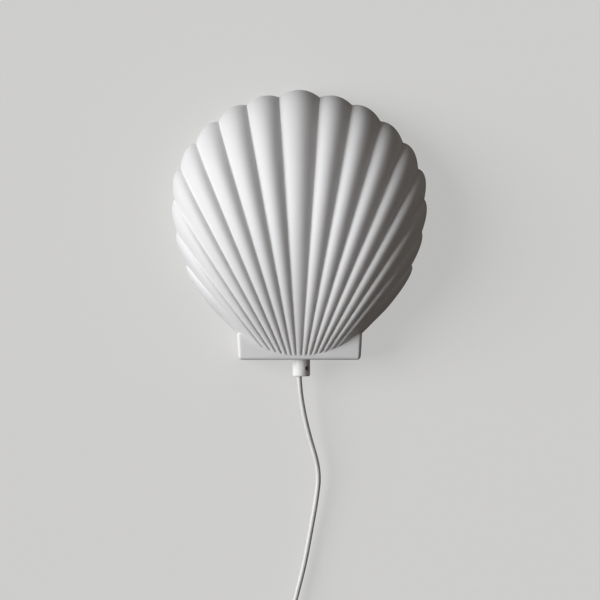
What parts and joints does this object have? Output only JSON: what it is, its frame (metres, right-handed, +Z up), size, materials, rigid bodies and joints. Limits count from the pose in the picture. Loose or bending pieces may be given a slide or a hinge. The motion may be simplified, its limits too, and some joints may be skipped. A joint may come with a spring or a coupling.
{
  "type": "shell wall sconce",
  "caption": "Unglazed porcelain scallop-shell wall light with a hinge-block base, a small screw lampholder inside and a corded plug with an in-line rocker switch.",
  "frame": {"origin": "centre of the hanging keyhole, on the wall plane", "axes": "+X to the right as seen from the front, +Y into the wall, +Z up; the light lies at y <= 0"},
  "size_m": [0.252, 0.092, 0.69],
  "materials": {
    "porcelain": "unglazed",
    "steel": "zinc plated",
    "rubber": "matt",
    "brass": "bright",
    "holder_plastic": "moulded",
    "insert_ceramic": "unglazed",
    "bulb_glass": "opal",
    "bulb_black_glass": "black",
    "bulb_nickel": "satin nickel",
    "bulb_base": "moulded",
    "grip_plastic": "moulded",
    "screw_dark": "blackened",
    "brown_insulation": "smooth",
    "blue_insulation": "smooth",
    "cord": "smooth sheath",
    "tie": "moulded",
    "switch_plastic": "moulded",
    "plug_plastic": "moulded",
    "pin_brass": "nickel plated"
  },
  "bodies": {
    "light": {"shell_shade": "porcelain", "rubber_washer": "rubber", "hanger_strip": "steel", "hanger_angle": "steel", "lock_nut": "steel", "threaded_nipple": "steel", "holder_cap": "holder_plastic", "holder_barrel": "holder_plastic", "holder_insert": "insert_ceramic", "terminal_screws": "brass", "screw_sleeve": "brass", "side_contact": "brass", "centre_contact": "brass", "cord_grip": "grip_plastic", "grip_screw": "screw_dark", "lead_brown": "brown_insulation", "lead_blue": "blue_insulation", "cord_lead": "cord", "cord_link": "cord", "cord_coil": "cord", "cord_tail": "cord", "coil_tie": "tie", "switch_back": "switch_plastic", "switch_front": "switch_plastic", "switch_screws": "steel", "plug_body": "plug_plastic", "plug_pins": "pin_brass"},
    "bulb_thread": {"bulb_contact": "bulb_nickel"},
    "bulb": {"bulb_insulator": "bulb_black_glass", "bulb_cap": "bulb_nickel", "bulb_collar": "bulb_base", "bulb_globe": "bulb_glass"},
    "rocker": {"switch_rocker": "switch_plastic"}
  },
  "joints": [
    {"name": "bulb_lift", "type": "slide", "parent": "light", "child": "bulb_thread", "axis": [0, 0, 1], "range_m": [0, 0.015]},
    {"name": "bulb_turn", "type": "hinge", "parent": "bulb_thread", "child": "bulb", "pos_m": [0.0018, -0.022, -0.17], "axis": [0, 0, 1], "range_deg": [0, 1915]},
    {"name": "rocker_pivot", "type": "hinge", "parent": "light", "child": "rocker", "pos_m": [-0.009, -0.0135, -0.529], "axis": [1, 0, 0], "range_deg": [0, 12]}
  ],
  "couplings": [
    {"joint": "bulb_turn", "follows": "bulb_lift", "rad_per_m": 2228}
  ]
}
